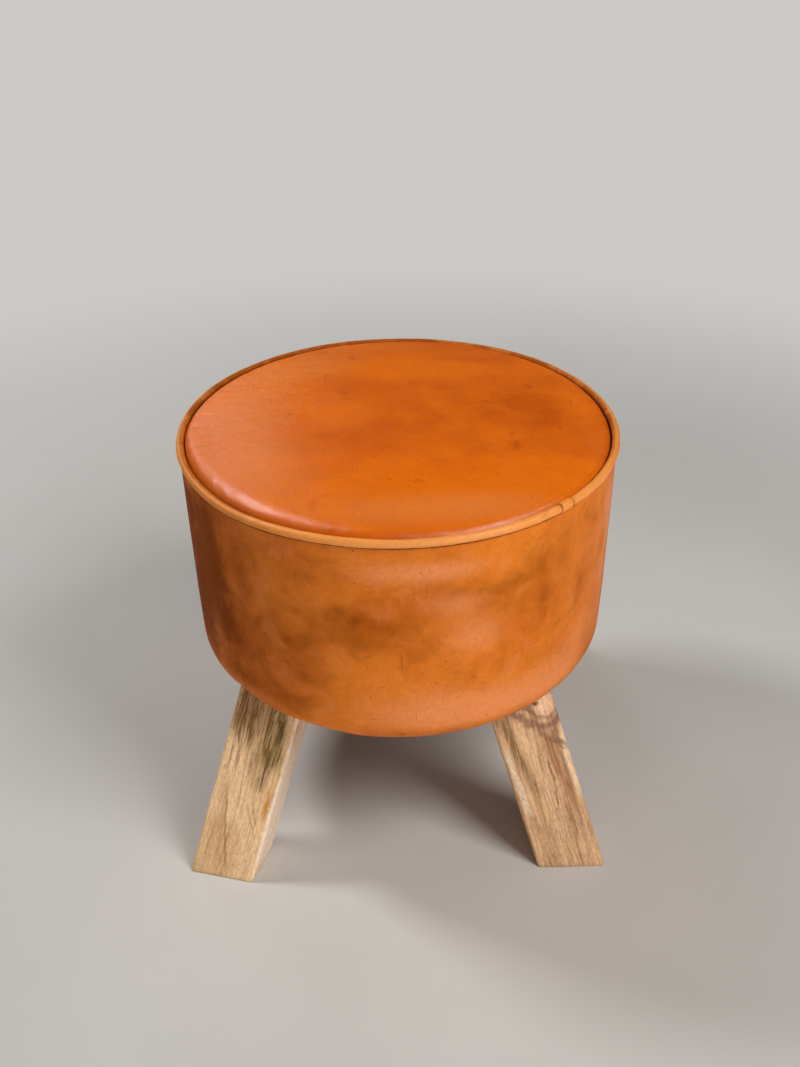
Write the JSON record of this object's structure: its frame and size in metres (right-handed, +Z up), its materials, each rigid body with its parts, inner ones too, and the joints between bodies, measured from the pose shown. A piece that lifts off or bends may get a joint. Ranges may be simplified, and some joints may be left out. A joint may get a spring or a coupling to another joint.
{
  "type": "round leather stool with splayed legs",
  "caption": "Low round stool: a padded drum covered in tan leather, with piping round a gently crowned seat, on thick splayed wooden legs",
  "frame": {"origin": "on the floor below the middle of the seat, the centre of the bounding box's base", "axes": "+Z is up and -Y is the front, so +X is to the right as seen from the front"},
  "size_m": [0.4686, 0.46, 0.4433],
  "materials": {
    "leather": "satin",
    "piping_leather": "satin",
    "leg_wood": "satin",
    "frame_wood": "matte",
    "plywood": "matte",
    "foam": "matte",
    "cord": "matte",
    "dust_cover_cloth": "matte",
    "bolt_steel": "satin"
  },
  "bodies": {
    "root": {"leg_front_left": "leg_wood", "leg_block_front_left": "frame_wood", "leg_front_right": "leg_wood", "leg_block_front_right": "frame_wood", "leg_back_left": "leg_wood", "leg_block_back_left": "frame_wood", "leg_back_right": "leg_wood", "leg_block_back_right": "frame_wood", "top_leather": "leather", "side_leather_front": "leather", "side_leather_back": "leather", "piping_strip": "piping_leather", "piping_join_wrap": "piping_leather", "piping_cord": "cord", "seat_foam": "foam", "side_foam": "foam", "edge_roll_right": "foam", "post_right": "frame_wood", "edge_roll_back": "foam", "post_back": "frame_wood", "edge_roll_left": "foam", "post_left": "frame_wood", "edge_roll_front": "foam", "post_front": "frame_wood", "base_board": "plywood", "top_board": "plywood", "closing_board": "plywood", "side_hoop": "plywood", "cross_rail_side_to_side": "frame_wood", "cross_rail_front_to_back": "frame_wood", "dust_cover": "dust_cover_cloth", "leg_bolts": "bolt_steel"}
  },
  "joints": []
}
